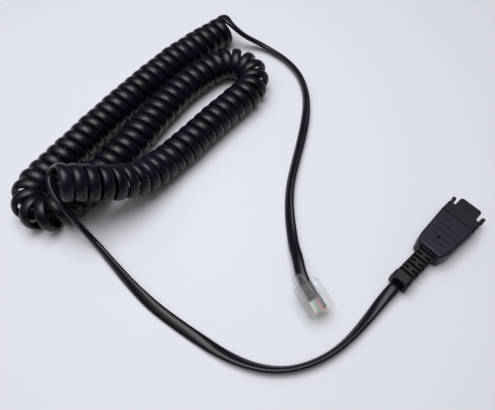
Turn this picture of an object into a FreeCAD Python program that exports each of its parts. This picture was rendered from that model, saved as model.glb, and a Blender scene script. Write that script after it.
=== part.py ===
import FreeCAD, Part
import Sketcher
import math
import os

# Headset connecting cord: a quick-disconnect connector, a curly cord with two plain tails,
# and a clear four-contact modular plug on the far end.
# Frame: +X is the way the connector mates, +Z is up, the cord lies on z = 0, and the origin is
# the bottom centre of the connector. All lengths are millimetres, all angles degrees.

Vector = FreeCAD.Vector

doc = FreeCAD.newDocument("HeadsetCord")

# ---------------------------------------------------------------- driving dimensions

DIMENSIONS = [
    # connector housing
    ("housing_rear", -5.0),
    ("housing_front", 10.2),
    ("rear_width", 8.6),
    ("middle_width", 10.8),
    ("front_width", 12.2),
    ("middle_station", -1.2),
    ("housing_height", 7.0),
    ("parting_height", 3.4),
    ("wall", 1.1),
    ("rear_round", 1.3),
    ("edge_round", 0.9),
    ("cover_gap", 0.05),
    ("front_gap", 0.25),
    ("cavity_rear", -3.6),
    ("cavity_front_width", 7.8),
    ("cavity_neck_station", 7.0),
    ("rib_count", 4.0),
    ("rib_pitch", 2.1),
    ("rib_first", 5.2),
    ("rib_length", 7.9),
    ("rib_shortening", 0.55),
    ("rib_width", 0.55),
    ("rib_rise", 0.22),
    ("rib_sink", 0.3),
    ("gate_depth", 3.0),
    ("gate_diameter", 0.9),
    ("gate_station", 0.4),
    ("gate_offset", 0.55),
    # contact carrier and its tongue
    ("block_front", 14.2),
    ("tongue_front", 18.4),
    ("tongue_width", 7.8),
    ("tongue_top", 6.5),
    ("tongue_bottom", 2.0),
    ("tongue_round", 1.1),
    ("carrier_rear", 7.4),
    ("contact_pitch", 1.8),
    ("contact_width", 0.9),
    ("contact_thickness", 0.35),
    ("contact_height", 3.9),
    ("contact_clearance", 0.05),
    ("contact_rear", 6.4),
    ("contact_front", 17.7),
    ("window_rear", 14.8),
    ("mark_station", 14.0),
    ("mark_length", 2.2),
    ("mark_width", 0.35),
    ("mark_depth", 0.4),
    ("dimple_radius", 0.8),
    ("dimple_advance", 1.5),
    # latch arms at the two sides of the tongue
    ("arm_root", 9.5),
    ("arm_tip", 18.2),
    ("arm_inner", 4.9),
    ("arm_thickness", 0.9),
    ("arm_hook", 0.75),
    ("arm_bottom", 1.8),
    ("arm_tall", 3.0),
    ("arm_clearance", 0.2),
    ("slot_inner", 4.4),
    ("notch_lead", 0.8),
    ("notch_length", 8.0),
    ("notch_depth", 4.0),
    ("heel_length", 0.6),
    ("hook_round", 0.12),
    # strain relief boot
    ("boot_rear", -19.2),
    ("boot_width", 5.7),
    ("boot_height", 5.2),
    ("collar_length", 3.1),
    ("collar_width", 6.2),
    ("cord_height", 3.4),
    ("boot_slot", 0.95),
    ("boot_pitch", 1.62),
    ("boot_bridge", 1.3),
    ("boot_margin", 0.45),
    ("boot_bite", 0.55),
    ("boot_skin", 0.45),
    ("boot_over", 0.2),
    ("boot_rows", 7.0),
    ("boot_round", 1.3),
    ("flange_height", 4.3),
    ("flange_length", 1.0),
    ("flange_width", 5.2),
    ("neck_width", 4.6),
    # flat cord and curly cord
    ("cord_width", 3.7),
    ("cord_thickness", 2.0),
    ("cord_tube", 3.0),
    ("bore_clearance", 0.1),
    ("coil_diameter", 11.8),
    ("inner_cord_front", 1.2),
    ("wire_diameter", 0.95),
    ("wire_pitch", 1.02),
    ("conductor_diameter", 0.8),
    ("conductor_pitch", 0.87),
    ("conductor_lead", 1.2),
    ("solder_diameter", 1.1),
    ("solder_rear", 5.6),
    ("clamp_rear", -0.9),
    ("clamp_length", 1.6),
    ("clamp_width", 6.1),
    # modular plug
    ("plug_length", 9.6),
    ("plug_width", 7.65),
    ("plug_thickness", 6.6),
    ("plug_edge", 0.5),
    ("jacket_room_length", 5.3),
    ("jacket_room_width", 4.3),
    ("jacket_room_height", 2.5),
    ("jacket_centre", 3.5),
    ("wire_room_length", 3.6),
    ("room", 0.08),
    ("blade_station", 7.5),
    ("blade_length", 1.7),
    ("blade_thickness", 0.35),
    ("blade_recess", 0.4),
    ("bar_station", 1.7),
    ("bar_length", 2.2),
    ("bar_width", 4.1),
    ("bar_thickness", 1.5),
    ("latch_root", 8.6),
    ("latch_overhang", 2.6),
    ("latch_thickness", 0.9),
    ("latch_width", 3.2),
    ("latch_shoulder", 4.2),
    ("latch_shoulder_rear", 4.6),
    ("latch_step", 0.4),
    ("latch_corner", 0.6),
    ("latch_angle", 17.0),
    ("latch_gap", 0.35),
    ("plug_approach", 5.5),
    ("plug_roll", 26.3),
    ("plug_heading", -106.8),
    ("plug_place_x", -38.72),
    ("plug_place_y", 18.23),
    ("plug_place_z", 1.69),
]

# Middle line of the cord, by hand. The coil's points are the middle of its turns.
CONNECTOR_TAIL = [
    (-19.2, 0.0, 3.4),
    (-25.2, 0.0, 3.0),
    (-32.0, -0.6, 1.7),
    (-39.5, -1.0, 1.5),
    (-46.5, -0.7, 1.5),
    (-53.3, 0.9, 1.5),
    (-59.8, 4.0, 1.5),
    (-65.1, 8.6, 1.5),
    (-69.3, 15.0, 1.5),
    (-72.2, 22.5, 1.5),
    (-74.3, 30.7, 1.5),
    (-76.1, 38.8, 1.5),
    (-77.5, 46.5, 1.5),
    (-78.1, 53.9, 1.5),
    (-78.2, 61.1, 1.5),
    (-78.1, 68.0, 1.5),
    (-78.0, 73.7, 1.9),
    (-78.4, 78.1, 4.8),
    (-78.9, 81.6, 9.5),
    (-79.3, 84.6, 13.3),
    (-79.3, 88.0, 15.2),
    (-78.4, 91.5, 15.8),
    (-76.6, 94.5, 16.6),
    (-74.2, 95.4, 18.6),
    (-73.2, 92.6, 21.1),
]

COIL = [
    (16.5, 116.6, 5.9),
    (-4.0, 118.4, 5.9),
    (-29.0, 115.2, 5.9),
    (-50.5, 111.4, 5.9),
    (-69.5, 107.2, 5.9),
    (-81.6, 105.1, 5.9),
    (-86.0, 100.3, 5.9),
    (-86.0, 94.6, 5.9),
    (-81.8, 90.8, 5.9),
    (-70.5, 91.0, 5.9),
    (-58.5, 94.2, 5.9),
    (-46.0, 96.8, 5.9),
    (-32.0, 101.0, 5.9),
    (-16.5, 104.4, 5.9),
    (-6.0, 104.4, 5.9),
    (1.8, 103.9, 5.9),
    (7.5, 98.4, 5.9),
    (7.4, 91.0, 5.9),
    (1.5, 85.7, 5.9),
    (-8.5, 85.3, 5.9),
    (-21.5, 84.1, 5.9),
    (-34.0, 82.5, 5.9),
    (-44.0, 81.6, 6.4),
    (-53.0, 80.4, 8.8),
    (-61.3, 81.0, 13.5),
    (-68.0, 83.2, 18.3),
    (-76.1, 87.3, 22.5),
]

PLUG_TAIL = [
    (15.6, 117.4, 10.7),
    (16.6, 114.4, 10.2),
    (17.7, 111.2, 7.9),
    (19.4, 108.2, 5.6),
    (22.6, 104.2, 3.1),
    (24.6, 98.8, 1.6),
    (25.1, 92.4, 1.5),
    (24.3, 86.0, 1.5),
    (22.3, 80.1, 1.5),
    (19.0, 74.5, 1.5),
    (14.2, 69.0, 1.5),
    (7.5, 63.5, 1.5),
    (-0.4, 58.2, 1.5),
    (-8.2, 53.4, 1.5),
    (-15.2, 48.9, 1.5),
    (-20.5, 44.6, 1.5),
    (-25.0, 40.0, 1.5),
    (-29.4, 34.8, 1.6),
    (-32.7, 30.0, 2.7),
    (-35.4, 26.7, 4.2),
]


def make_sheet():
    """Put the driving dimensions into a spreadsheet and give each an alias."""
    table = doc.addObject("Spreadsheet::Sheet", "Dimensions")
    for row, (alias, value) in enumerate(DIMENSIONS, start=1):
        table.set("A%d" % row, alias)
        table.set("B%d" % row, str(value))
        table.setAlias("B%d" % row, alias)
    return table


sheet = make_sheet()
doc.recompute()

WIRE_COLOURS = ("black", "red", "green", "yellow")
WIRES = len(WIRE_COLOURS)
SIDES = {"left": 1, "right": -1}
EDGE_FLAT = 0.02
RUN_SHARE = 0.45


def dim(alias):
    """The value of one driving dimension."""
    return float(getattr(sheet, alias))


def lane(number):
    """How many pitches conductor or contact number 0..3 stands from the middle, left first."""
    return (WIRES - 1) / 2.0 - number


# ---------------------------------------------------------------- small builders

nodes = {}


def node(feature, name):
    """Name a finished feature as a sub-part."""
    feature.Label = name
    nodes[name] = feature
    return feature


def bind(feature, **expressions):
    """Bind properties to expressions; a double underscore stands for a dot."""
    for name, expression in expressions.items():
        feature.setExpression(name.replace("__", "."), str(expression))
    return feature


def brick(name, x, y, z, length, width, height):
    """A box whose sizes and corner are expressions on the sheet."""
    solid = doc.addObject("Part::Box", name)
    bind(solid, Length=length, Width=width, Height=height)
    bind(solid, Placement__Base__x=x, Placement__Base__y=y, Placement__Base__z=z)
    return solid


def middle_brick(name, x, z, length, width, height, y_middle="0"):
    """A box that is centred across the part at y_middle."""
    y = "(%s) - (%s) / 2" % (y_middle, width)
    return brick(name, x, y, z, length, width, height)


def rod(name, x, y, z, length, diameter):
    """A round bar along +X that starts at (x, y, z)."""
    solid = doc.addObject("Part::Cylinder", name)
    bind(solid, Radius="(%s) / 2" % diameter, Height=length)
    solid.Placement.Rotation = FreeCAD.Rotation(Vector(0, 1, 0), 90)
    bind(solid, Placement__Base__x=x, Placement__Base__y=y, Placement__Base__z=z)
    return solid


def cut(name, base, *tools):
    """base without all the tools."""
    if len(tools) == 1:
        tool = tools[0]
    else:
        tool = doc.addObject("Part::MultiFuse", name + "_tools")
        tool.Shapes = list(tools)
    result = doc.addObject("Part::Cut", name)
    result.Base = base
    result.Tool = tool
    return result


def fuse(name, *pieces):
    """The pieces joined into one."""
    result = doc.addObject("Part::MultiFuse", name)
    result.Shapes = list(pieces)
    return result


def rounded(name, base, radius, wanted):
    """Round the edges of base for which wanted(edge) is true."""
    doc.recompute()
    result = doc.addObject("Part::Fillet", name)
    result.Base = base
    numbers = [i for i, edge in enumerate(base.Shape.Edges, start=1) if wanted(edge)]
    result.Edges = [(i, radius, radius) for i in numbers]
    return result


def runs_along(edge, axis):
    """True if a straight edge is parallel to the axis given by its letter."""
    extent = edge.BoundBox
    sizes = {"X": extent.XLength, "Y": extent.YLength, "Z": extent.ZLength}
    others = sum(size for letter, size in sizes.items() if letter != axis)
    return sizes[axis] > 0.05 and others < 1e-6


# ---------------------------------------------------------------- PartDesign builders

def origin_plane(body, role):
    """One of a body's own origin planes, found by its role."""
    for feature in body.Origin.OriginFeatures:
        if feature.Role == role:
            return feature
    raise ValueError(role)


def new_body(name):
    """An empty PartDesign body."""
    return doc.addObject("PartDesign::Body", name)


def new_sketch(body, name, role, height="0"):
    """An empty sketch on an origin plane of the body, lifted off it by height."""
    sketch = body.newObject("Sketcher::SketchObject", name)
    sketch.AttachmentSupport = [(origin_plane(body, role), "")]
    sketch.MapMode = "FlatFace"
    sketch.setExpression("AttachmentOffset.Base.z", str(height))
    return sketch


def draw_outline(sketch, points):
    """Draw a closed outline through points given as pairs of expressions on the sheet."""
    count = len(points)
    rough = [(sheet.evalExpression(x), sheet.evalExpression(y)) for x, y in points]
    rough = [Vector(float(x), float(y), 0) for x, y in rough]
    for i in range(count):
        sketch.addGeometry(Part.LineSegment(rough[i], rough[(i + 1) % count]), False)
    for i in range(count):
        sketch.addConstraint(Sketcher.Constraint("Coincident", i, 2, (i + 1) % count, 1))
    for i, (x, y) in enumerate(points):
        for kind, expression, value in (("DistanceX", x, rough[i].x), ("DistanceY", y, rough[i].y)):
            number = sketch.addConstraint(Sketcher.Constraint(kind, -1, 1, i, 1, value))
            sketch.setExpression("Constraints[%d]" % number, expression)
    return sketch


def pad(body, sketch, name, length):
    """Pad a sketch upwards by length."""
    feature = body.newObject("PartDesign::Pad", name)
    feature.Profile = sketch
    feature.setExpression("Length", str(length))
    doc.recompute()
    return feature


def pocket(body, sketch, name, length, upwards=True):
    """Pocket a sketch by length, and make sure that it cuts."""
    before = body.Shape.Volume
    feature = body.newObject("PartDesign::Pocket", name)
    feature.Profile = sketch
    feature.setExpression("Length", str(length))
    feature.Reversed = upwards
    doc.recompute()
    if body.Shape.Volume > before - 1e-3:
        raise RuntimeError(name + " cuts nothing")
    return feature


def fillet(body, base, name, radius, wanted):
    """Fillet the edges of the body's last feature for which wanted(edge) is true."""
    feature = body.newObject("PartDesign::Fillet", name)
    edges = enumerate(base.Shape.Edges, start=1)
    feature.Base = (base, ["Edge%d" % i for i, edge in edges if wanted(edge)])
    feature.setExpression("Radius", str(radius))
    doc.recompute()
    return feature


# ---------------------------------------------------------------- connector housing

def housing_outline():
    """The plan of both shells: wide at the front, tapering to the boot."""
    rows = [("housing_rear", "rear_width"), ("middle_station", "middle_width"),
            ("housing_front", "front_width")]
    right = [("Dimensions.%s" % x, "-Dimensions.%s / 2" % w) for x, w in rows]
    left = [("Dimensions.%s" % x, "Dimensions.%s / 2" % w) for x, w in reversed(rows)]
    return right + left


def cavity_outline():
    """The plan of the hollow: follows the shells, then narrows to hold the contact carrier."""
    wall = "Dimensions.wall"
    rows = [
        ("Dimensions.cavity_rear", "Dimensions.rear_width / 2 - %s" % wall),
        ("Dimensions.middle_station", "Dimensions.middle_width / 2 - %s" % wall),
        ("Dimensions.cavity_neck_station", "Dimensions.middle_width / 2 - %s" % wall),
        ("Dimensions.cavity_neck_station", "Dimensions.cavity_front_width / 2"),
        ("Dimensions.housing_front + 1", "Dimensions.cavity_front_width / 2"),
    ]
    right = [(x, "-(%s)" % y) for x, y in rows]
    left = [(x, y) for x, y in reversed(rows)]
    return right + left


def is_rear_corner(edge):
    """True for the two upright edges at the rear of a shell."""
    return runs_along(edge, "Z") and abs(edge.BoundBox.XMin - dim("housing_rear")) < 1e-6


def make_shell(name, base_height, tall, cavity_from, cavity_tall, soft_level):
    """One hollow shell with rounded rear corners and one softened outer rim."""
    body = new_body(name + "_body")
    plan = draw_outline(new_sketch(body, name + "_plan", "XY_Plane", base_height),
                        housing_outline())
    block = pad(body, plan, name + "_pad", tall)
    corners = fillet(body, block, name + "_corners", "Dimensions.rear_round", is_rear_corner)
    front = dim("housing_front")

    def is_rim(edge):
        extent = edge.BoundBox
        flat = extent.ZLength < 1e-6 and abs(extent.ZMin - soft_level) < 1e-6
        return flat and extent.XMin < front - 1e-3

    fillet(body, corners, name + "_rim", "Dimensions.edge_round", is_rim)
    hollow = draw_outline(new_sketch(body, name + "_hollow", "XY_Plane", cavity_from),
                          cavity_outline())
    pocket(body, hollow, name + "_pocket", cavity_tall)
    return body


def boot_passage(name):
    """The opening in the rear wall for the boot's neck."""
    width = "Dimensions.neck_width + 2 * Dimensions.contact_clearance"
    return middle_brick(name, "Dimensions.housing_rear - 1", "Dimensions.cord_height - (%s) / 2" % width,
                        "Dimensions.cavity_rear - Dimensions.housing_rear + 2", width, width)


def arm_notches(name):
    """Side notches that hold the roots of the latch arms."""
    notches = []
    for side, sign in SIDES.items():
        inner = "Dimensions.slot_inner" if sign > 0 else "-Dimensions.slot_inner - Dimensions.notch_depth"
        notches.append(brick(
            "%s_%s" % (name, side), "Dimensions.arm_root - Dimensions.notch_lead", inner,
            "Dimensions.arm_bottom - Dimensions.arm_clearance", "Dimensions.notch_length",
            "Dimensions.notch_depth", "Dimensions.arm_tall + 2 * Dimensions.arm_clearance"))
    return notches


def make_lower_shell():
    """The lower half of the housing."""
    shell = make_shell("lower_shell", "0", "Dimensions.parting_height",
                       "Dimensions.wall", "Dimensions.parting_height", 0.0)
    return cut("lower_shell_cut", shell, boot_passage("lower_passage"), *arm_notches("lower_notch"))


def grip_rib(number):
    """One raised grip rib on the cover; they get shorter towards the boot."""
    length = "Dimensions.rib_length - %d * Dimensions.rib_shortening" % number
    x = "Dimensions.rib_first - %d * Dimensions.rib_pitch" % number
    return middle_brick("grip_rib_%d" % (number + 1), x,
                        "Dimensions.housing_height - Dimensions.rib_sink", "Dimensions.rib_width",
                        length, "Dimensions.rib_sink + Dimensions.rib_rise")


def make_top_cover():
    """The upper half of the housing, with its grip ribs and the small gate hole."""
    tall = "Dimensions.housing_height - Dimensions.parting_height - Dimensions.cover_gap"
    inside = "Dimensions.housing_height - Dimensions.parting_height - Dimensions.wall"
    shell = make_shell("top_cover", "Dimensions.parting_height + Dimensions.cover_gap", tall,
                       "Dimensions.parting_height", inside, dim("housing_height"))
    ribs = [grip_rib(i) for i in range(int(dim("rib_count")))]
    hole = doc.addObject("Part::Cylinder", "gate_hole")
    bind(hole, Radius="Dimensions.gate_diameter / 2", Height="Dimensions.gate_depth + 1")
    bind(hole, Placement__Base__x="Dimensions.gate_station",
         Placement__Base__y="Dimensions.gate_offset",
         Placement__Base__z="Dimensions.housing_height - Dimensions.gate_depth")
    ribbed = fuse("ribbed_cover", shell, *ribs)
    return cut("top_cover_cut", ribbed, hole, boot_passage("upper_passage"),
               *arm_notches("upper_notch"))


# ---------------------------------------------------------------- contact carrier

def contact_channel(number):
    """The passage of one contact through the carrier, open below the tongue."""
    width = "Dimensions.contact_width + 2 * Dimensions.contact_clearance"
    y = "%g * Dimensions.contact_pitch" % lane(number)
    tall = "Dimensions.contact_thickness + 2 * Dimensions.contact_clearance"
    bottom = "Dimensions.contact_height - Dimensions.contact_clearance"
    passage = middle_brick("contact_passage_%d" % (number + 1), "Dimensions.carrier_rear - 1",
                           bottom, "Dimensions.contact_front - Dimensions.carrier_rear + 1.1",
                           width, tall, y)
    window = middle_brick("contact_window_%d" % (number + 1), "Dimensions.window_rear",
                          "Dimensions.tongue_bottom - 1",
                          "Dimensions.contact_front + 0.1 - Dimensions.window_rear", width,
                          "Dimensions.contact_height - Dimensions.tongue_bottom + 1.1", y)
    return [passage, window]


def is_tongue_corner(edge):
    """True for the two upright corners at the tip of the tongue."""
    return runs_along(edge, "Z") and abs(edge.BoundBox.XMin - dim("tongue_front")) < 1e-6


def make_carrier():
    """The moulded block that closes the front, carries the contacts and ends in the tongue."""
    gap = "Dimensions.cover_gap"
    insert = middle_brick("carrier_insert", "Dimensions.carrier_rear", "Dimensions.wall + " + gap,
                          "Dimensions.housing_front + 0.5 - Dimensions.carrier_rear",
                          "Dimensions.cavity_front_width - 2 * " + gap,
                          "Dimensions.housing_height - 2 * Dimensions.wall - 2 * " + gap)
    block = middle_brick("carrier_block", "Dimensions.housing_front + Dimensions.front_gap", "0",
                         "Dimensions.block_front - Dimensions.housing_front - Dimensions.front_gap",
                         "Dimensions.front_width", "Dimensions.housing_height")
    tongue = middle_brick("carrier_tongue", "Dimensions.block_front - 1", "Dimensions.tongue_bottom",
                          "Dimensions.tongue_front - Dimensions.block_front + 1",
                          "Dimensions.tongue_width", "Dimensions.tongue_top - Dimensions.tongue_bottom")
    soft_tongue = rounded("soft_tongue", tongue, dim("tongue_round"), is_tongue_corner)
    side = dim("front_width") / 2
    rear = dim("housing_front") + 1.0

    def is_block_rim(edge):
        extent = edge.BoundBox
        at_side = abs(abs(extent.YMin) - side) < 1e-6 and extent.YLength < 1e-6
        return at_side and extent.ZLength < 1e-6 and extent.XMax > rear

    soft_block = rounded("soft_block", block, dim("edge_round"), is_block_rim)
    body = fuse("carrier_body", insert, soft_block, soft_tongue)
    channels = [piece for i in range(WIRES) for piece in contact_channel(i)]
    mark = middle_brick("centre_mark", "Dimensions.mark_station",
                        "Dimensions.tongue_top - Dimensions.mark_depth",
                        "Dimensions.mark_length", "Dimensions.mark_width", "1.5")
    return cut("contact_carrier_cut", body, mark, *(channels + arm_notches("carrier_notch")))


def make_contact(number):
    """One spring contact: a flat strip with a dimple that reaches down into its window."""
    y = "%g * Dimensions.contact_pitch" % lane(number)
    strip = middle_brick("contact_strip_%d" % number, "Dimensions.contact_rear",
                         "Dimensions.contact_height",
                         "Dimensions.contact_front - Dimensions.contact_rear",
                         "Dimensions.contact_width", "Dimensions.contact_thickness", y)
    dimple = doc.addObject("Part::Cylinder", "contact_dimple_%d" % number)
    bind(dimple, Radius="Dimensions.dimple_radius", Height="Dimensions.contact_width * 0.8")
    dimple.Placement.Rotation = FreeCAD.Rotation(Vector(1, 0, 0), 90)
    bind(dimple, Placement__Base__x="Dimensions.window_rear + Dimensions.dimple_advance",
         Placement__Base__y="%s + Dimensions.contact_width * 0.4" % y,
         Placement__Base__z="Dimensions.contact_height + 0.1")
    span = "2 * Dimensions.dimple_advance"
    upper = middle_brick("contact_above_%d" % number, "Dimensions.window_rear",
                         "Dimensions.contact_height + Dimensions.contact_thickness / 2",
                         span, span, span, y)
    return fuse("contact_whole_%d" % number, strip, cut("contact_bump_%d" % number, dimple, upper))


# ---------------------------------------------------------------- latch arms

def arm_outline(sign):
    """The plan of one latch arm: a thick root, a thin neck and an outward hook at the tip."""
    inner = "Dimensions.arm_inner"
    outer = "(Dimensions.arm_inner + Dimensions.arm_thickness)"
    tip = "Dimensions.arm_tip"
    hook = "(%s + Dimensions.arm_hook * 0.6)" % outer
    neck = "(Dimensions.arm_inner + Dimensions.arm_thickness * 0.62)"
    rows = [
        ("Dimensions.arm_root - Dimensions.heel_length", inner),
        (tip + " - 0.5", inner),
        (tip, "Dimensions.arm_inner + 0.5"),
        (tip, hook + " - 0.25"),
        (tip + " - 0.35", hook),
        (tip + " - 0.95", hook),
        (tip + " - 1.35", neck),
        (tip + " - 2.35", neck),
        (tip + " - 2.9", outer),
        ("Dimensions.arm_root - Dimensions.heel_length", outer),
    ]
    return [(x, "%d * (%s)" % (sign, y)) for x, y in rows]


def make_arm(side, sign):
    """One latch arm as a padded outline."""
    body = new_body("arm_body_" + side)
    plan = draw_outline(new_sketch(body, "arm_plan_" + side, "XY_Plane", "Dimensions.arm_bottom"),
                        arm_outline(sign))
    arm = pad(body, plan, "arm_pad_" + side, "Dimensions.arm_tall")
    fillet(body, arm, "arm_soft_" + side, "Dimensions.hook_round",
           lambda edge: runs_along(edge, "Z") and edge.BoundBox.XMin > dim("arm_tip") - 1.0)
    return body


# ---------------------------------------------------------------- strain relief boot

def boot_rows():
    """Stations of the boot's cross slots, counted forward from the collar."""
    first = "Dimensions.boot_rear + Dimensions.collar_length"
    return ["%s + %d * Dimensions.boot_pitch" % (first, i) for i in range(int(dim("boot_rows")))]


def boot_slots():
    """Staggered slots on the top and the bottom: one in the middle, then a pair at the sides."""
    depth = "(Dimensions.boot_height - Dimensions.cord_thickness) / 2 - Dimensions.boot_skin"
    tall = depth + " + Dimensions.boot_over"
    low = "Dimensions.cord_height - Dimensions.boot_height / 2 - Dimensions.boot_over"
    high = "Dimensions.cord_height + Dimensions.boot_height / 2 - (%s)" % depth
    bridge = "Dimensions.boot_bridge / 2"
    reach = "(Dimensions.boot_width / 2 - %s + 0.5)" % bridge
    middle = "(Dimensions.boot_width - 2 * Dimensions.boot_margin)"
    slots = []
    for i, x in enumerate(boot_rows()):
        for level, z in (("low", low), ("high", high)):
            name = "boot_slot_%d_%s" % (i, level)
            if i % 2 == 0:
                slots.append(middle_brick(name, x, z, "Dimensions.boot_slot", middle, tall))
            else:
                slots.append(brick(name + "_left", x, bridge, z, "Dimensions.boot_slot", reach, tall))
                slots.append(brick(name + "_right", x, "-%s - %s" % (bridge, reach), z,
                                   "Dimensions.boot_slot", reach, tall))
    return slots


def side_scallops():
    """Shallow bites in the boot's flanks beside the paired slots."""
    flank = "Dimensions.boot_width / 2 - Dimensions.boot_bite"
    tall = "2 * Dimensions.cord_height"
    bites = []
    for i, x in enumerate(boot_rows()[1::2]):
        bites.append(brick("boot_bite_%d_left" % i, x, flank, "0", "Dimensions.boot_slot", "1", tall))
        bites.append(brick("boot_bite_%d_right" % i, x, "-(%s) - 1" % flank, "0",
                           "Dimensions.boot_slot", "1", tall))
    return bites


def make_boot():
    """The flexible boot: a flange and neck held by the shells, a slotted body and a collar."""
    height = "Dimensions.cord_height"
    low = "%s - Dimensions.boot_height / 2" % height
    body = middle_brick("boot_block", "Dimensions.boot_rear + 1", low,
                        "Dimensions.housing_rear - Dimensions.cover_gap - Dimensions.boot_rear - 1",
                        "Dimensions.boot_width", "Dimensions.boot_height")
    collar = middle_brick("boot_collar", "Dimensions.boot_rear", low + " - Dimensions.boot_over",
                          "Dimensions.collar_length - 0.5", "Dimensions.collar_width",
                          "Dimensions.boot_height + 2 * Dimensions.boot_over")
    soft_body = rounded("boot_soft", body, dim("boot_round"), lambda edge: runs_along(edge, "X"))
    soft_collar = rounded("collar_soft", collar, dim("boot_round"),
                          lambda edge: runs_along(edge, "X"))
    neck = middle_brick("boot_neck", "Dimensions.housing_rear - 0.5",
                        height + " - Dimensions.neck_width / 2",
                        "Dimensions.cavity_rear - Dimensions.housing_rear + 0.6",
                        "Dimensions.neck_width", "Dimensions.neck_width")
    flange = middle_brick("boot_flange", "Dimensions.cavity_rear + Dimensions.cover_gap",
                          height + " - Dimensions.flange_height / 2", "Dimensions.flange_length",
                          "Dimensions.flange_width", "Dimensions.flange_height")
    whole = fuse("boot_whole", soft_body, soft_collar, neck, flange)
    bore = middle_brick("boot_bore", "Dimensions.boot_rear - 1",
                        height + " - Dimensions.cord_thickness / 2 - Dimensions.bore_clearance",
                        "Dimensions.cavity_rear - Dimensions.boot_rear + 4",
                        "Dimensions.cord_width + 2 * Dimensions.bore_clearance",
                        "Dimensions.cord_thickness + 2 * Dimensions.bore_clearance")
    return cut("boot_cut", whole, bore, *(boot_slots() + side_scallops()))


# ---------------------------------------------------------------- inside of the connector

def flat_cord(name, x, z_middle, length, y_middle="0"):
    """A length of the flat cord's jacket, with its rounded edges, along +X."""
    block = middle_brick(name + "_block", x, "%s - Dimensions.cord_thickness / 2" % z_middle,
                         length, "Dimensions.cord_width", "Dimensions.cord_thickness", y_middle)
    radius = dim("cord_thickness") / 2 - EDGE_FLAT
    return rounded(name + "_round", block, radius, lambda edge: runs_along(edge, "X"))


def make_inner_cord():
    """The end of the flat cord inside the boot and the housing."""
    return flat_cord("inner_cord", "Dimensions.boot_rear", "Dimensions.cord_height",
                     "Dimensions.inner_cord_front - Dimensions.boot_rear")


def make_clamp():
    """The clamp that holds the jacket: a ring round the flat cord, standing on the shell's floor."""
    block = middle_brick("clamp_block", "Dimensions.clamp_rear", "Dimensions.wall",
                         "Dimensions.clamp_length", "Dimensions.clamp_width",
                         "2 * (Dimensions.cord_height - Dimensions.wall)")
    bore = middle_brick("clamp_bore", "Dimensions.clamp_rear - 1",
                        "Dimensions.cord_height - Dimensions.cord_thickness / 2",
                        "Dimensions.clamp_length + 2", "Dimensions.cord_width",
                        "Dimensions.cord_thickness")
    return cut("clamp_cut", block, bore)


def make_solder():
    """The four soldered joints between conductors and contacts."""
    joints = [rod("solder_%d" % i, "Dimensions.solder_rear", "%g * Dimensions.contact_pitch" % lane(i),
                  "Dimensions.contact_height + Dimensions.contact_thickness / 2",
                  "Dimensions.contact_rear - Dimensions.solder_rear", "Dimensions.solder_diameter")
              for i in range(WIRES)]
    group = doc.addObject("Part::Compound", "solder_group")
    group.Links = joints
    return group


# ---------------------------------------------------------------- cords

def smooth_path(points):
    """Straight runs joined by tangent arcs as large as the runs allow, with the arcs' radii."""
    edges = []
    radii = []
    start = points[0]
    for before, corner, after in zip(points, points[1:], points[2:]):
        run_in = corner - before
        run_out = after - corner
        reach = RUN_SHARE * min(run_in.Length, run_out.Length)
        way_in = Vector(run_in).normalize()
        way_out = Vector(run_out).normalize()
        half_turn = way_in.getAngle(way_out) / 2
        radius = reach / math.tan(half_turn)
        inward = (way_out - way_in).normalize()
        entry = corner - way_in * reach
        leave = corner + way_out * reach
        middle = corner + inward * (radius / math.cos(half_turn) - radius)
        edges.append(Part.LineSegment(start, entry).toShape())
        edges.append(Part.Arc(entry, middle, leave).toShape())
        radii.append(radius)
        start = leave
    edges.append(Part.LineSegment(start, points[-1]).toShape())
    return Part.Wire(edges), radii


def make_tube(name, points, diameter):
    """A round tube along a route; prints its radii and compares its volume with its length."""
    route = [Vector(*point) for point in points]
    path, radii = smooth_path(route)
    circle = Part.Circle(route[0], (route[1] - route[0]).normalize(), diameter / 2)
    profile = Part.Wire([circle.toShape()])
    solid = Part.Solid(path.makePipeShell([profile], True, False))
    expected = math.pi * diameter ** 2 / 4 * path.Length
    print("%s: length %.1f, volume / expected %.4f" % (name, path.Length, solid.Volume / expected))
    print("  radii " + " ".join("%.1f" % radius for radius in radii))
    feature = doc.addObject("Part::Feature", name + "_tube")
    feature.Shape = solid
    return feature


def make_conductor(number):
    """One insulated conductor, fanned out from the jacket's end to its contact."""
    colour = WIRE_COLOURS[number]
    near = lane(number) * dim("conductor_pitch")
    far = lane(number) * dim("contact_pitch")
    rise = dim("contact_height") + dim("contact_thickness") / 2
    front = dim("solder_rear")
    rear = dim("inner_cord_front")
    lead = dim("conductor_lead")
    points = [(rear, near, dim("cord_height")), (rear + lead, near, dim("cord_height")),
              (front - lead, far, rise), (front, far, rise)]
    return node(make_tube("conductor_" + colour, points, dim("conductor_diameter")),
                "conductor_" + colour)


# ---------------------------------------------------------------- modular plug

def plug_placement():
    """Where the plug lies: nose along its heading, rolled about its own length."""
    turn = FreeCAD.Rotation(Vector(0, 0, 1), dim("plug_heading"))
    roll = FreeCAD.Rotation(Vector(1, 0, 0), dim("plug_roll"))
    spot = Vector(dim("plug_place_x"), dim("plug_place_y"), dim("plug_place_z"))
    return FreeCAD.Placement(spot, turn.multiply(roll))


def place_on_plug(feature, name):
    """Freeze a piece made in the plug's own frame and put it where the plug lies."""
    doc.recompute()
    placed = doc.addObject("Part::Feature", name + "_placed")
    placed.Shape = feature.Shape
    placed.Placement = plug_placement().multiply(feature.Placement)
    return node(placed, name)


def is_plug_edge(edge):
    """True for the body's four long edges and the four edges round the nose."""
    return runs_along(edge, "X") or edge.BoundBox.XMin > dim("plug_length") - 1e-6


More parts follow.
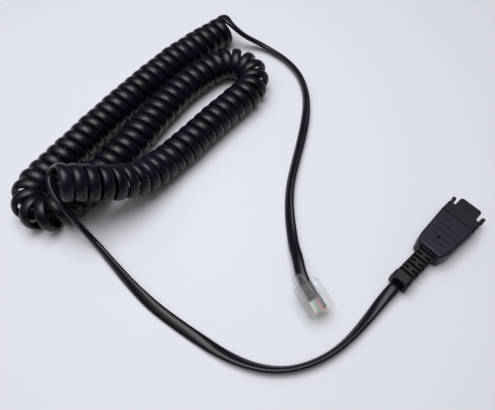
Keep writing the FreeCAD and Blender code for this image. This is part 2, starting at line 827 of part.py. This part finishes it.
def make_plug_body():
    """The clear moulded body with its rooms for the jacket, wires, blades and crimp bar."""
    block = middle_brick("plug_block", "0", "0", "Dimensions.plug_length", "Dimensions.plug_width",
                         "Dimensions.plug_thickness")
    soft = rounded("plug_soft", block, dim("plug_edge"), is_plug_edge)
    jacket = middle_brick("plug_jacket_room", "-1",
                          "Dimensions.jacket_centre - Dimensions.jacket_room_height / 2",
                          "Dimensions.jacket_room_length + 1", "Dimensions.jacket_room_width",
                          "Dimensions.jacket_room_height")
    wires = middle_brick("plug_wire_room", "Dimensions.jacket_room_length - Dimensions.room",
                         "Dimensions.jacket_centre - Dimensions.wire_diameter / 2 - Dimensions.room",
                         "Dimensions.wire_room_length",
                         "%d * Dimensions.wire_pitch + Dimensions.room" % WIRES,
                         "Dimensions.wire_diameter + 2 * Dimensions.room")
    bar = middle_brick("plug_bar_room", "Dimensions.bar_station - Dimensions.room", "-1",
                       "Dimensions.bar_length + 2 * Dimensions.room",
                       "Dimensions.bar_width + 2 * Dimensions.room", "Dimensions.jacket_centre + 1")
    slots = [middle_brick("plug_blade_slot_%d" % i, "Dimensions.blade_station - Dimensions.room",
                          "-1", "Dimensions.blade_length + 2 * Dimensions.room",
                          "Dimensions.blade_thickness + 2 * Dimensions.room",
                          "Dimensions.jacket_centre + 1", "%g * Dimensions.wire_pitch" % lane(i))
             for i in range(WIRES)]
    return cut("plug_body_cut", soft, jacket, wires, bar, *slots)


def make_plug_latch():
    """The spring latch: rises from the nose to its tail behind the body, wider at the shoulder."""
    body = new_body("latch_body")
    root = "Dimensions.latch_root"
    shoulder = "Dimensions.latch_shoulder / 2"
    tail = "Dimensions.latch_width / 2"
    end = "-Dimensions.latch_overhang"
    rows = [(root, shoulder), ("Dimensions.latch_shoulder_rear", shoulder),
            ("Dimensions.latch_shoulder_rear - Dimensions.latch_step", tail),
            (end + " + Dimensions.latch_corner", tail), (end, tail + " - Dimensions.latch_corner")]
    outline = [(x, "-(%s)" % y) for x, y in rows] + list(reversed(rows))
    plan = draw_outline(new_sketch(body, "latch_plan", "XY_Plane"), outline)
    pad(body, plan, "latch_pad", "Dimensions.latch_thickness")
    doc.recompute()
    raised = doc.addObject("Part::Feature", "latch_raised")
    raised.Shape = body.Shape
    pivot = Vector(dim("latch_root"), 0, 0)
    lift = Vector(0, 0, dim("plug_thickness") + dim("latch_gap"))
    tilt = FreeCAD.Rotation(Vector(0, 1, 0), dim("latch_angle"))
    raised.Placement = FreeCAD.Placement(lift, tilt, pivot)
    return raised


def make_blade(number):
    """One contact blade, which stops at its wire."""
    top = "Dimensions.jacket_centre - Dimensions.wire_diameter / 2 - 0.02"
    return middle_brick("blade_%d" % (number + 1), "Dimensions.blade_station",
                        "Dimensions.blade_recess", "Dimensions.blade_length",
                        "Dimensions.blade_thickness", top + " - Dimensions.blade_recess",
                        "%g * Dimensions.wire_pitch" % lane(number))


def make_crimp_bar():
    """The bar that is pressed on the jacket and holds it."""
    top = "Dimensions.jacket_centre - Dimensions.cord_thickness / 2"
    return middle_brick("crimp_bar_block", "Dimensions.bar_station",
                        top + " - Dimensions.bar_thickness", "Dimensions.bar_length",
                        "Dimensions.bar_width", "Dimensions.bar_thickness")


def make_plug_wire(number):
    """One insulated wire inside the plug, from the jacket's end to past its blade."""
    start = "Dimensions.jacket_room_length - 0.2"
    return rod("plug_wire_%d" % (number + 1), start, "%g * Dimensions.wire_pitch" % lane(number),
               "Dimensions.jacket_centre", "Dimensions.wire_room_length",
               "Dimensions.wire_diameter")


def make_plug_jacket():
    """The end of the flat jacket inside the plug."""
    return flat_cord("plug_jacket", "0", "Dimensions.jacket_centre",
                     "Dimensions.jacket_room_length - 0.2")


def plug_tail_route():
    """The tail's hand-set points, then the last run straight into the plug's rear."""
    placement = plug_placement()
    rear = placement.multVec(Vector(0, 0, dim("jacket_centre")))
    before = placement.multVec(Vector(-dim("plug_approach"), 0, dim("jacket_centre")))
    return PLUG_TAIL + [tuple(before), tuple(rear)]


# ---------------------------------------------------------------- assembly

def build():
    """Make every sub-part."""
    node(make_lower_shell(), "lower_shell")
    node(make_top_cover(), "top_cover")
    node(make_carrier(), "contact_carrier")
    for i in range(WIRES):
        node(make_contact(i), "contact_%d" % (i + 1))
    for side, sign in SIDES.items():
        node(make_arm(side, sign), "latch_arm_" + side)
    node(make_boot(), "strain_relief_boot")
    node(make_inner_cord(), "cord_inner_end")
    node(make_clamp(), "cable_clamp")
    node(make_solder(), "solder_joints")
    for i in range(WIRES):
        make_conductor(i)
    node(make_tube("connector_tail", CONNECTOR_TAIL, dim("cord_tube")), "cord_connector_tail")
    node(make_tube("coil", COIL, dim("coil_diameter")), "curly_cord")
    node(make_tube("plug_tail", plug_tail_route(), dim("cord_tube")), "cord_plug_tail")
    place_on_plug(make_plug_body(), "plug_body")
    place_on_plug(make_plug_latch(), "plug_latch")
    for i in range(WIRES):
        place_on_plug(make_blade(i), "plug_contact_%d" % (i + 1))
    place_on_plug(make_crimp_bar(), "plug_crimp_bar")
    place_on_plug(make_plug_jacket(), "plug_jacket_end")
    for i, colour in enumerate(WIRE_COLOURS):
        place_on_plug(make_plug_wire(i), "plug_wire_" + colour)


def check_and_write():
    """Stop on any failed object or bad shape, then write one STEP file for each sub-part."""
    doc.recompute()
    for thing in doc.Objects:
        if "Invalid" in thing.State or "Error" in thing.State:
            raise RuntimeError("%s failed: %s" % (thing.Name, thing.State))
    for name, feature in nodes.items():
        shape = feature.Shape
        if shape.isNull() or not shape.isValid():
            raise RuntimeError(name + " has no valid shape")
    os.makedirs("parts", exist_ok=True)
    for name, feature in nodes.items():
        feature.Shape.exportStep("parts/%s.step" % name)
        print("%-22s %9.2f mm3" % (name, feature.Shape.Volume))


build()
check_and_write()
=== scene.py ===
import math

import bpy
import numpy as np
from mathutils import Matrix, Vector


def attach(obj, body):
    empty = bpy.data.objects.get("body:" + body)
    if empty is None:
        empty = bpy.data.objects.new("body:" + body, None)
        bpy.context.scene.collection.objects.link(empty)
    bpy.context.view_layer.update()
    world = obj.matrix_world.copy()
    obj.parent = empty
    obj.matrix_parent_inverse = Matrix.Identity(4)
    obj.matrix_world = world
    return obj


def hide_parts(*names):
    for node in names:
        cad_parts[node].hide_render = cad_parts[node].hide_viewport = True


# The looks of a headset connecting cord: a quick-disconnect connector, a curly flat cord and a clear
# modular plug. Metres, in the CAD model's frame: the origin is the connector's bottom centre, and the
# cord lies on z = 0.

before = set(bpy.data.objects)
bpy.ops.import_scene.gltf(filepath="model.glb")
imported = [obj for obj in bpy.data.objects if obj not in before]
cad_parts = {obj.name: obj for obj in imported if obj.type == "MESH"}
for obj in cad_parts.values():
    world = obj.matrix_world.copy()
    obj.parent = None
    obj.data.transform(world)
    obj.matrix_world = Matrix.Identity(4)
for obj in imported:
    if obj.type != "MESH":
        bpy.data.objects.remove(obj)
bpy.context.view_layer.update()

MM = 0.001

# ---------------------------------------------------------------- camera

CAMERA_PLACE = Vector((-0.0905, -0.0088, 0.1472))
CAMERA_TARGET = Vector((-0.0321, 0.0529, 0.0))
CAMERA_LENS = 36.36
SENSOR_WIDTH = 36.0


def aim(thing, target):
    """Turn a camera or a light so that it faces a point."""
    thing.rotation_euler = (target - thing.location).to_track_quat("-Z", "Y").to_euler()


def make_camera():
    """The camera, above and behind the connector, looking across the coil."""
    data = bpy.data.cameras.new("camera")
    data.lens = CAMERA_LENS
    data.sensor_width = SENSOR_WIDTH
    data.clip_start = 0.005
    camera = bpy.data.objects.new("camera", data)
    camera.location = CAMERA_PLACE
    aim(camera, CAMERA_TARGET)
    bpy.context.collection.objects.link(camera)
    bpy.context.scene.camera = camera


make_camera()

# ---------------------------------------------------------------- the cord's route

HALF_WIDTH = 1.85 * MM
HALF_THICKNESS = 1.0 * MM
# A tail point this high or lower, within the slack, lies on the floor: the flat cord then rests on it.
TUBE_RADIUS = 1.5 * MM
FLOOR_SLACK = 0.5 * MM

# Each point of a tail: x, y, z in metres, and how far the flat cord leans about its own length, in
# degrees: 0 lies flat on its face, 90 stands on its edge.
CONNECTOR_TAIL = [
    (-0.0192, 0.0000, 0.0034, 180),
    (-0.0252, 0.0000, 0.0030, 196),
    (-0.0320, -0.0006, 0.0017, 220),
    (-0.0395, -0.0010, 0.0015, 239),
    (-0.0465, -0.0007, 0.0015, 251),
    (-0.0533, 0.0009, 0.0015, 250),
    (-0.0598, 0.0040, 0.0015, 250),
    (-0.0651, 0.0086, 0.0015, 238),
    (-0.0693, 0.0150, 0.0015, 225),
    (-0.0722, 0.0225, 0.0015, 203),
    (-0.0743, 0.0307, 0.0015, 172),
    (-0.0761, 0.0388, 0.0015, 170),
    (-0.0775, 0.0465, 0.0015, 164),
    (-0.0781, 0.0539, 0.0015, 140),
    (-0.0782, 0.0611, 0.0015, 126),
    (-0.0781, 0.0680, 0.0015, 113),
    (-0.0780, 0.0737, 0.0019, 105),
    (-0.0784, 0.0781, 0.0048, 92),
    (-0.0789, 0.0816, 0.0095, 86),
    (-0.0793, 0.0846, 0.0133, 84),
    (-0.0793, 0.0880, 0.0152, 82),
    (-0.0784, 0.0915, 0.0158, 76),
    (-0.0766, 0.0945, 0.0166, 56),
    (-0.0742, 0.0954, 0.0186, 36),
]

# The middle of the coil's turns, from the plug's side to the connector's side.
COIL = [
    (0.0165, 0.1166, 0.0059),
    (-0.0040, 0.1184, 0.0059),
    (-0.0290, 0.1152, 0.0059),
    (-0.0505, 0.1114, 0.0059),
    (-0.0695, 0.1072, 0.0059),
    (-0.0816, 0.1051, 0.0059),
    (-0.0860, 0.1003, 0.0059),
    (-0.0860, 0.0946, 0.0059),
    (-0.0818, 0.0908, 0.0059),
    (-0.0705, 0.0910, 0.0059),
    (-0.0585, 0.0942, 0.0059),
    (-0.0460, 0.0968, 0.0059),
    (-0.0320, 0.1010, 0.0059),
    (-0.0165, 0.1044, 0.0059),
    (-0.0060, 0.1044, 0.0059),
    (0.0018, 0.1039, 0.0059),
    (0.0075, 0.0984, 0.0059),
    (0.0074, 0.0910, 0.0059),
    (0.0015, 0.0857, 0.0059),
    (-0.0085, 0.0853, 0.0059),
    (-0.0215, 0.0841, 0.0059),
    (-0.0340, 0.0825, 0.0059),
    (-0.0440, 0.0816, 0.0064),
    (-0.0530, 0.0804, 0.0088),
    (-0.0613, 0.0810, 0.0135),
    (-0.0680, 0.0832, 0.0183),
    (-0.0761, 0.0873, 0.0225),
]

PLUG_TAIL = [
    (0.0166, 0.1144, 0.0102, 152),
    (0.0177, 0.1112, 0.0079, 140),
    (0.0194, 0.1082, 0.0056, 138),
    (0.0226, 0.1042, 0.0031, 136),
    (0.0246, 0.0988, 0.0016, 133),
    (0.0251, 0.0924, 0.0015, 121),
    (0.0243, 0.0860, 0.0015, 107),
    (0.0223, 0.0801, 0.0015, 87),
    (0.0190, 0.0745, 0.0015, 78),
    (0.0142, 0.0690, 0.0015, 58),
    (0.0075, 0.0635, 0.0015, 38),
    (-0.0004, 0.0582, 0.0015, 39),
    (-0.0082, 0.0534, 0.0015, 46),
    (-0.0152, 0.0489, 0.0015, 49),
    (-0.0205, 0.0446, 0.0015, 50),
    (-0.0250, 0.0400, 0.0015, 42),
    (-0.0294, 0.0348, 0.0016, 36),
    (-0.0331, 0.0303, 0.0027, 33),
    (-0.0354, 0.0267, 0.0042, 28),
]

# Where the plug lies: the middle of its rear face's lower edge, its heading and its roll. The cord goes
# into its rear at this height, straight from this far behind it.
PLUG_PLACE = Vector((-0.03872, 0.01823, 0.00169))
PLUG_HEADING = math.radians(-106.8)
PLUG_ROLL = math.radians(26.3)
JACKET_CENTRE = 3.5 * MM
PLUG_APPROACH = 3.0 * MM

# The turns: the radius to the cord's middle, the spacing along a straight stretch, and the angles about
# the coil's line where the first turn starts and the last one ends.
COIL_RADIUS = 4.88 * MM
COIL_PITCH = 3.86 * MM
POINTS_PER_TURN = 16
FIRST_PHASE = math.radians(285.0)
LAST_PHASE = math.radians(352.0)
# The line's bend is measured over this reach each way, and this times the bend, in turned radians a
# metre, is added to the pitch as a share of it.
BEND_REACH = 6 * MM
BEND_OPENING = 0.0004
# Slow and quick waves in the turns' radius: the share of it, and the radians of the wave in each turn.
RADIUS_WAVES = [(0.012, 1.7), (0.008, 4.1)]
AXIS_STEPS = 24
AXIS_REACH = 2 * MM
UP = Vector((0.0, 0.0, 1.0))


def spline_line(points, steps):
    """Points read from a NURBS spline of order 3 that has the given control points."""
    curve = bpy.data.curves.new("route", "CURVE")
    curve.dimensions = "3D"
    spline = curve.splines.new("NURBS")
    spline.points.add(len(points) - 1)
    for control, place in zip(spline.points, points):
        control.co = (*place, 1.0)
    spline.order_u = 3
    spline.use_endpoint_u = True
    spline.resolution_u = steps
    holder = bpy.data.objects.new("route", curve)
    mesh = bpy.data.meshes.new_from_object(holder)
    line = np.array([vertex.co[:] for vertex in mesh.vertices])
    bpy.data.objects.remove(holder)
    bpy.data.meshes.remove(mesh)
    bpy.data.curves.remove(curve)
    return line


def along(line):
    """How far along a line each of its points is."""
    steps = np.linalg.norm(np.diff(line, axis=0), axis=1)
    return np.concatenate(([0.0], np.cumsum(steps)))


def plug_point(x, y, z):
    """A point of the plug's own frame, in the model's frame."""
    nose = Vector((math.cos(PLUG_HEADING), math.sin(PLUG_HEADING), 0.0))
    level = UP.cross(nose)
    side = level * math.cos(PLUG_ROLL) + UP * math.sin(PLUG_ROLL)
    return PLUG_PLACE + nose * x + side * y + nose.cross(side) * z


def tail_rows(tail):
    """The control points of a tail, and the flat cord's width direction at each."""
    places = [Vector(row[:3]) for row in tail]
    rows = []
    for i, (place, row) in enumerate(zip(places, tail)):
        heading = places[min(i + 1, len(places) - 1)] - places[max(i - 1, 0)]
        heading.normalize()
        lean = math.radians(row[3])
        level = UP.cross(heading).normalized()
        width = level * math.cos(lean) + heading.cross(level) * math.sin(lean)
        rest = math.hypot(HALF_WIDTH * math.sin(lean), HALF_THICKNESS * math.cos(lean))
        on_floor = place.z <= TUBE_RADIUS + FLOOR_SLACK
        rows.append((place + UP * (rest - TUBE_RADIUS if on_floor else 0.0), width))
    return rows


def coil_turns(axis, travel):
    """How many turns are wound up to each point of the axis; bends open the turns a little."""
    ahead = np.gradient(axis, axis=0)
    ahead /= np.linalg.norm(ahead, axis=1)[:, None]
    before = np.stack([np.interp(travel - BEND_REACH, travel, ahead[:, i]) for i in range(3)], 1)
    after = np.stack([np.interp(travel + BEND_REACH, travel, ahead[:, i]) for i in range(3)], 1)
    bend = np.linalg.norm(after - before, axis=1) / (2 * BEND_REACH)
    pitch = COIL_PITCH * (1.0 + BEND_OPENING * bend)
    middle = (pitch[1:] + pitch[:-1]) / 2
    return np.concatenate(([0.0], np.cumsum(np.diff(travel) / middle)))


def coil_rows():
    """The control points of the helix and the width directions, from the connector to the plug."""
    axis = spline_line(COIL[::-1], AXIS_STEPS)
    travel = along(axis)
    wound = coil_turns(axis, travel)
    part = (LAST_PHASE - FIRST_PHASE) / (2 * math.pi)
    turns = round(wound[-1] - part) + part
    wound *= turns / wound[-1]
    count = int(round(turns * POINTS_PER_TURN))
    # The control points stand a little outside the round line that the spline draws between them.
    swell = COIL_RADIUS / math.cos(math.pi / POINTS_PER_TURN)
    rows = []
    for k in range(count + 1):
        turn = turns * k / count
        place, ahead = axis_at(axis, travel, np.interp(turn, wound, travel))
        phase = FIRST_PHASE + turn * 2 * math.pi
        left = UP.cross(ahead).normalized()
        lift = ahead.cross(left)
        unevenness = 1.0 + sum(share * math.sin(rate * turn) for share, rate in RADIUS_WAVES)
        outward = lift * math.cos(phase) - left * math.sin(phase)
        rows.append((place + outward * swell * unevenness, -ahead))
    return rows


def axis_at(axis, travel, distance):
    """The point and the direction of the coil's axis at a distance along it."""
    spots = [distance, max(distance - AXIS_REACH, 0.0), min(distance + AXIS_REACH, travel[-1])]
    found = [Vector([np.interp(spot, travel, axis[:, i]) for i in range(3)]) for spot in spots]
    return found[0], (found[2] - found[1]).normalized()


def plug_rows():
    """The last control points, straight into the plug's rear."""
    width = plug_point(0, 1, 0) - plug_point(0, 0, 0)
    return [(plug_point(-PLUG_APPROACH, 0, JACKET_CENTRE), width),
            (plug_point(0, 0, JACKET_CENTRE), width)]


# ---------------------------------------------------------------- materials

def new_material(name, colour, roughness, **inputs):
    """A material with its even values on the shader's own sockets."""
    material = bpy.data.materials.new(name)
    material.use_nodes = True
    shader = material.node_tree.nodes["Principled BSDF"]
    shader.inputs["Base Color"].default_value = (*colour, 1.0)
    shader.inputs["Roughness"].default_value = roughness
    for socket, value in inputs.items():
        shader.inputs[socket.replace("_", " ")].default_value = value
    return material


def add_node(material, kind):
    """A new node in a material."""
    return material.node_tree.nodes.new(kind)


def link(material, source, target):
    """Join two sockets."""
    material.node_tree.links.new(source, target)


def add_noise(material, scale, detail=3.0, stretch=(1.0, 1.0, 1.0), layer=None):
    """A noise texture in object space, or along a cord's own layer; returns its value socket."""
    if layer:
        chart = add_node(material, "ShaderNodeUVMap")
        chart.uv_map = layer
        place = chart.outputs["UV"]
    else:
        place = add_node(material, "ShaderNodeTexCoord").outputs["Object"]
    mapping = add_node(material, "ShaderNodeMapping")
    mapping.inputs["Scale"].default_value = stretch
    noise = add_node(material, "ShaderNodeTexNoise")
    noise.inputs["Scale"].default_value = scale
    noise.inputs["Detail"].default_value = detail
    link(material, place, mapping.inputs["Vector"])
    link(material, mapping.outputs["Vector"], noise.inputs["Vector"])
    return noise.outputs["Fac"]


def spread(material, source, low, high, socket):
    """Drive a shader value between low and high by a noise."""
    shader = material.node_tree.nodes["Principled BSDF"]
    ranger = add_node(material, "ShaderNodeMapRange")
    ranger.inputs["To Min"].default_value = low
    ranger.inputs["To Max"].default_value = high
    link(material, source, ranger.inputs["Value"])
    link(material, ranger.outputs["Result"], shader.inputs[socket])


def tint(material, source, colours):
    """Vary the base colour between the given colours by a noise."""
    shader = material.node_tree.nodes["Principled BSDF"]
    ramp = add_node(material, "ShaderNodeValToRGB")
    for element, colour, place in zip(ramp.color_ramp.elements, colours, (0.35, 0.65)):
        element.color = (*colour, 1.0)
        element.position = place
    link(material, source, ramp.inputs["Fac"])
    link(material, ramp.outputs["Color"], shader.inputs["Base Color"])


def roughen(material, source, strength, distance):
    """Add a fine relief."""
    shader = material.node_tree.nodes["Principled BSDF"]
    bump = add_node(material, "ShaderNodeBump")
    bump.inputs["Strength"].default_value = strength
    bump.inputs["Distance"].default_value = distance
    old = shader.inputs["Normal"].links
    if old:
        link(material, old[0].from_socket, bump.inputs["Normal"])
    link(material, source, bump.inputs["Height"])
    link(material, bump.outputs["Normal"], shader.inputs["Normal"])


def make_cord_material(layer):
    """Glossy black PVC with faint lines along it from its die."""
    black = new_material("cord_pvc_" + (layer or "plain"), (0.002, 0.002, 0.005), 0.27,
                         Specular_IOR_Level=0.27)
    tint(black, add_noise(black, 90.0), [(0.0015, 0.0015, 0.004), (0.003, 0.003, 0.008)])
    spread(black, add_noise(black, 260.0, 4.0), 0.24, 0.36, "Roughness")
    if layer:
        lines = add_noise(black, 1.0, 2.0, (14.0, 40.0, 1.0), layer)
        roughen(black, lines, 0.12, 0.00004)
    roughen(black, add_noise(black, 900.0, 2.0), 0.10, 0.00003)
    return black


def make_moulded_material(name, colour, roughness, grain):
    """Moulded plastic with a fine spark-eroded grain."""
    plastic = new_material(name, colour, roughness, Specular_IOR_Level=0.3)
    light = tuple(value * 1.25 for value in colour)
    dark = tuple(value * 0.8 for value in colour)
    tint(plastic, add_noise(plastic, 140.0, 4.0), [dark, light])
    spread(plastic, add_noise(plastic, 500.0), roughness - 0.06, roughness + 0.08, "Roughness")
    roughen(plastic, add_noise(plastic, grain, 2.0), 0.35, 0.00005)
    return plastic


def make_clear_material(name, colour, roughness):
    """Clear moulded plastic, a little cloudy."""
    clear = new_material(name, colour, roughness, IOR=1.35, Transmission_Weight=0.93, Alpha=0.38)
    tint(clear, add_noise(clear, 200.0), [tuple(0.94 * value for value in colour), colour])
    spread(clear, add_noise(clear, 300.0), roughness - 0.03, roughness + 0.06, "Roughness")
    roughen(clear, add_noise(clear, 220.0, 2.0), 0.06, 0.00005)
    return clear


def make_metal_material(name, colour, roughness):
    """Plated metal with fine rolling marks."""
    metal = new_material(name, colour, roughness, Metallic=1.0)
    dull = tuple(value * 0.85 for value in colour)
    tint(metal, add_noise(metal, 350.0), [dull, colour])
    spread(metal, add_noise(metal, 700.0, 3.0, (1.0, 8.0, 8.0)), roughness - 0.08, roughness + 0.12,
           "Roughness")
    roughen(metal, add_noise(metal, 900.0, 2.0, (1.0, 8.0, 8.0)), 0.10, 0.00002)
    return metal


def make_wire_material(name, colour):
    """Soft coloured insulation."""
    wire = new_material(name, colour, 0.42)
    dark = tuple(value * 0.8 for value in colour)
    tint(wire, add_noise(wire, 400.0), [dark, colour])
    spread(wire, add_noise(wire, 600.0), 0.36, 0.50, "Roughness")
    roughen(wire, add_noise(wire, 1500.0, 2.0), 0.08, 0.00002)
    return wire


def dress(node, material):
    """Give a CAD node its material."""
    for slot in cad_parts[node].material_slots:
        slot.material = material


WIRE_COLOURS = {
    "black": (0.025, 0.025, 0.028),
    "red": (0.62, 0.27, 0.28),
    "green": (0.34, 0.54, 0.42),
    "yellow": (0.80, 0.74, 0.62),
}


def dress_nodes():
    """Give every CAD node that stays visible its material."""
    housing = make_moulded_material("housing_plastic", (0.004, 0.005, 0.012), 0.46, 2600.0)
    block = make_moulded_material("carrier_plastic", (0.003, 0.003, 0.007), 0.42, 2600.0)
    rubber = make_moulded_material("boot_rubber", (0.002, 0.002, 0.005), 0.50, 1800.0)
    jacket = make_cord_material(None)
    clear = make_clear_material("plug_clear", (0.96, 0.98, 0.98), 0.08)
    gold = make_metal_material("contact_gold", (0.86, 0.67, 0.34), 0.28)
    solder = make_metal_material("solder", (0.70, 0.70, 0.72), 0.35)
    for node in ("lower_shell", "top_cover"):
        dress(node, housing)
    for node in ("contact_carrier", "latch_arm_left", "latch_arm_right"):
        dress(node, block)
    for node in ("strain_relief_boot", "cable_clamp"):
        dress(node, rubber)
    for node in ("cord_inner_end", "plug_jacket_end"):
        dress(node, jacket)
    for node in ("plug_body", "plug_latch", "plug_crimp_bar"):
        dress(node, clear)
    dress("solder_joints", solder)
    for number in range(1, 5):
        dress("contact_%d" % number, gold)
        dress("plug_contact_%d" % number, gold)
    for name, colour in WIRE_COLOURS.items():
        insulation = make_wire_material("insulation_" + name, colour)
        dress("conductor_" + name, insulation)
        dress("plug_wire_" + name, insulation)


# ---------------------------------------------------------------- the cord

# The section is a superellipse, a little squarer than an ellipse.
SECTION_POINTS = 16
SECTION_POWER = 2.15
LINE_STEPS = 5
CORD_LAYER = "cord"


def section():
    """The flat cord's section: a rounded oblong, as pairs across the width and the thickness."""
    points = []
    for k in range(SECTION_POINTS):
        angle = 2 * math.pi * (k + 0.5) / SECTION_POINTS
        across = math.copysign(abs(math.cos(angle)) ** (2 / SECTION_POWER), math.cos(angle))
        through = math.copysign(abs(math.sin(angle)) ** (2 / SECTION_POWER), math.sin(angle))
        points.append((across * HALF_WIDTH, through * HALF_THICKNESS))
    return np.array(points)


def sweep_cord(name, rows):
    """A flat cord's mesh along control points with width directions; returns it and its middle."""
    middle = spline_line([place for place, width in rows], LINE_STEPS)
    edge = spline_line([place + width * HALF_WIDTH for place, width in rows], LINE_STEPS)
    ahead = np.gradient(middle, axis=0)
    ahead /= np.linalg.norm(ahead, axis=1)[:, None]
    width = edge - middle
    width -= (width * ahead).sum(axis=1)[:, None] * ahead
    width /= np.linalg.norm(width, axis=1)[:, None]
    through = np.cross(ahead, width)
    outline = section()
    rings = (middle[:, None] + width[:, None] * outline[None, :, :1]
             + through[:, None] * outline[None, :, 1:])
    count = len(middle)
    faces = []
    for i in range(count - 1):
        for j in range(SECTION_POINTS):
            after = (j + 1) % SECTION_POINTS
            here = i * SECTION_POINTS
            there = here + SECTION_POINTS
            faces.append((here + j, there + j, there + after, here + after))
    faces.append(tuple(range(SECTION_POINTS)))
    faces.append(tuple(reversed(range((count - 1) * SECTION_POINTS, count * SECTION_POINTS))))
    mesh = bpy.data.meshes.new(name)
    mesh.from_pydata(rings.reshape(-1, 3).tolist(), [], faces)
    mesh.polygons.foreach_set("use_smooth", [True] * len(mesh.polygons))
    lay_lengthwise(mesh, along(middle))
    mesh.update()
    piece = bpy.data.objects.new(name, mesh)
    bpy.context.collection.objects.link(piece)
    return piece, middle


def lay_lengthwise(mesh, travel):
    """A layer whose first number runs along the cord in metres and whose second runs round it."""
    layer = mesh.uv_layers.new(name=CORD_LAYER)
    corners = np.empty(len(mesh.loops), dtype=int)
    mesh.loops.foreach_get("vertex_index", corners)
    places = np.stack([travel[corners // SECTION_POINTS], corners % SECTION_POINTS / SECTION_POINTS], 1)
    layer.data.foreach_set("uv", places.reshape(-1))


def make_cord():
    """The whole cord, from the boot to the plug, as one flat cord."""
    rows = tail_rows(CONNECTOR_TAIL) + coil_rows() + tail_rows(PLUG_TAIL) + plug_rows()
    cord, middle = sweep_cord("flat_cord", rows)
    cord.data.materials.append(make_cord_material(CORD_LAYER))
    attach(cord, "connector_and_cord")
    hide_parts("cord_connector_tail", "curly_cord", "cord_plug_tail")
    print("cord length %.4f m, %d rings" % (along(middle)[-1], len(middle)))


make_cord()
dress_nodes()

# ---------------------------------------------------------------- floor and light

FLOOR_SIZE = 3.0
FLOOR_COLOUR = (0.60, 0.61, 0.635)


def make_floor():
    """A plain pale floor."""
    mesh = bpy.data.meshes.new("floor")
    half = FLOOR_SIZE / 2
    corners = [(-half, -half, 0), (half, -half, 0), (half, half, 0), (-half, half, 0)]
    mesh.from_pydata(corners, [], [(0, 1, 2, 3)])
    floor = bpy.data.objects.new("floor", mesh)
    bpy.context.collection.objects.link(floor)
    mesh.materials.append(new_material("floor", FLOOR_COLOUR, 0.6))


def make_light(name, place, target, size, power, colour):
    """A square soft light."""
    data = bpy.data.lights.new(name, "AREA")
    data.size = size
    data.energy = power
    data.color = colour
    lamp = bpy.data.objects.new(name, data)
    lamp.location = place
    aim(lamp, target)
    bpy.context.collection.objects.link(lamp)


def make_world(colour, strength):
    """An even surround."""
    world = bpy.data.worlds.new("surround")
    world.use_nodes = True
    background = world.node_tree.nodes["Background"]
    background.inputs["Color"].default_value = (*colour, 1.0)
    background.inputs["Strength"].default_value = strength
    bpy.context.scene.world = world


make_floor()
CENTRE = Vector((-0.02, 0.06, 0.0))
make_light("overhead", Vector((-0.02, 0.12, 0.40)), CENTRE, 0.28, 1.55, (0.95, 0.97, 1.0))
make_light("room", Vector((-0.10, 0.20, 0.95)), CENTRE, 1.60, 6.5, (1.0, 0.99, 0.97))
make_world((0.86, 0.90, 1.0), 0.12)
bpy.context.scene.view_settings.view_transform = "Standard"
